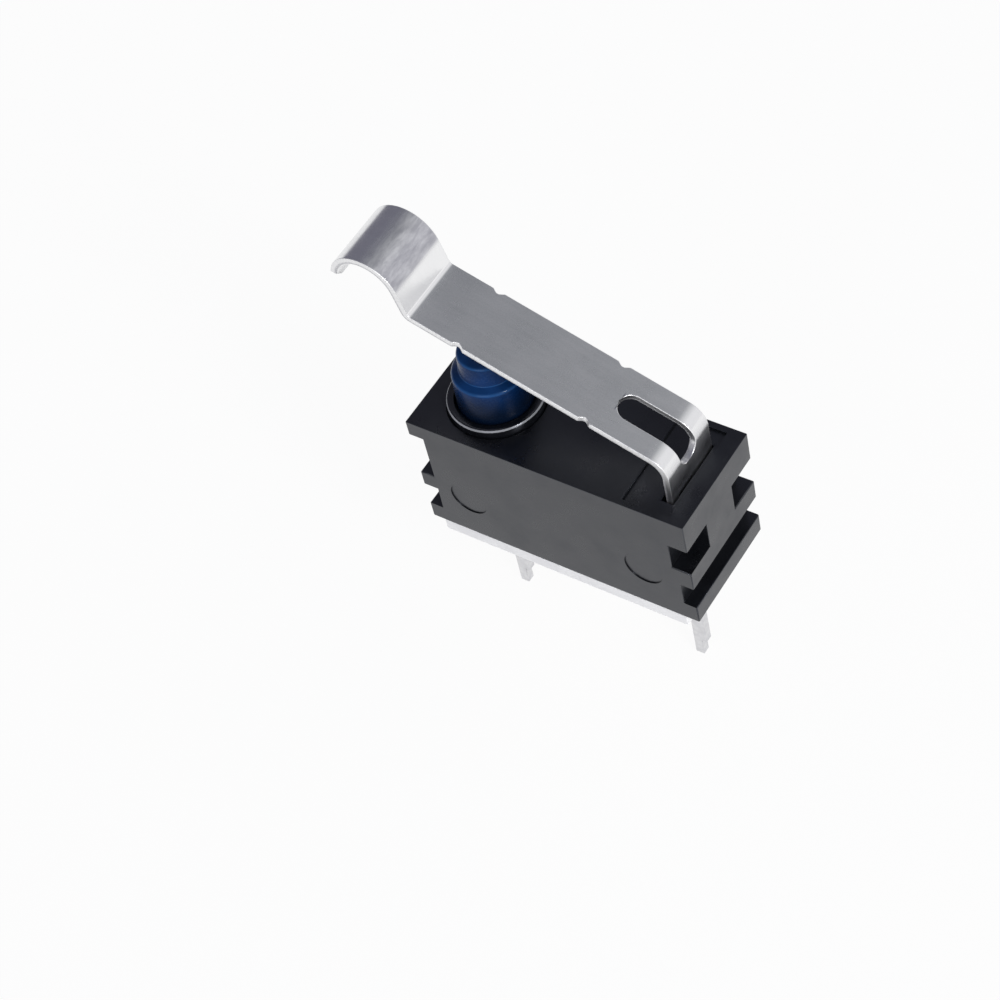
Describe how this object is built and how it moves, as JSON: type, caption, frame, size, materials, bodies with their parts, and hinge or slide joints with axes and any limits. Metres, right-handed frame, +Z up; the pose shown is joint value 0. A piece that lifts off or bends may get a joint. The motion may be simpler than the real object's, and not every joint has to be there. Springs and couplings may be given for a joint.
{
  "type": "automotive switch",
  "caption": "Sealed snap-action car switch with a bent sheet lever over a rubber-booted plunger, side posts and flat solder pins under its base.",
  "frame": {"origin": "middle of the base's underside, where the pins come out", "axes": "+Z up along the plunger, +X towards the lever's hinge end, +Y towards the side with the posts"},
  "size_m": [0.016, 0.0059, 0.0215],
  "materials": {
    "black_plastic": "fine moulded, satin",
    "pale_plastic": "fine moulded, satin",
    "cast_resin": "cast, smooth",
    "blue_silicone": "moulded silicone, semi-gloss",
    "stainless_sheet": "rolled sheet, sheared edges",
    "plunger_plastic": "moulded, smooth",
    "spring_wire": "drawn wire",
    "copper_alloy": "rolled spring strip",
    "silver_alloy": "pressed button",
    "tinned_brass": "tinned, dull"
  },
  "bodies": {
    "housing": {"case": "black_plastic", "base": "pale_plastic", "terminal_seal": "cast_resin", "boot": "blue_silicone", "boot_ring": "black_plastic", "return_spring": "spring_wire", "fixed_contact": "silver_alloy", "contact_terminal": "tinned_brass", "common_terminal": "tinned_brass"},
    "lever_arm": {"lever": "stainless_sheet"},
    "plunger": {"plunger": "plunger_plastic"},
    "blade": {"snap_blade": "copper_alloy", "moving_contact": "silver_alloy"}
  },
  "joints": [
    {"name": "plunger_slide", "type": "slide", "parent": "housing", "child": "plunger", "axis": [0, 0, -1], "range_m": [0, 0.0012], "stiffness_N_per_m": 0.5, "springref_m": -0.001, "deforming": ["boot", "return_spring"]},
    {"name": "lever_hinge", "type": "hinge", "parent": "housing", "child": "lever_arm", "pos_m": [0.00575, 0, 0.0053], "axis": [0, -1, 0], "range_deg": [0, 6.1], "stiffness_Nm_per_rad": 0.00005, "springref_deg": -14.32},
    {"name": "blade_pivot", "type": "hinge", "parent": "housing", "child": "blade", "pos_m": [0.00375, 0, 0.00398], "axis": [0, -1, 0], "range_deg": [0, 11.85]}
  ],
  "couplings": [
    {"joint": "lever_hinge", "follows": "plunger_slide", "rad_per_m": 88.18},
    {"joint": "blade_pivot", "follows": "plunger_slide", "rad_per_m": 170.94}
  ]
}
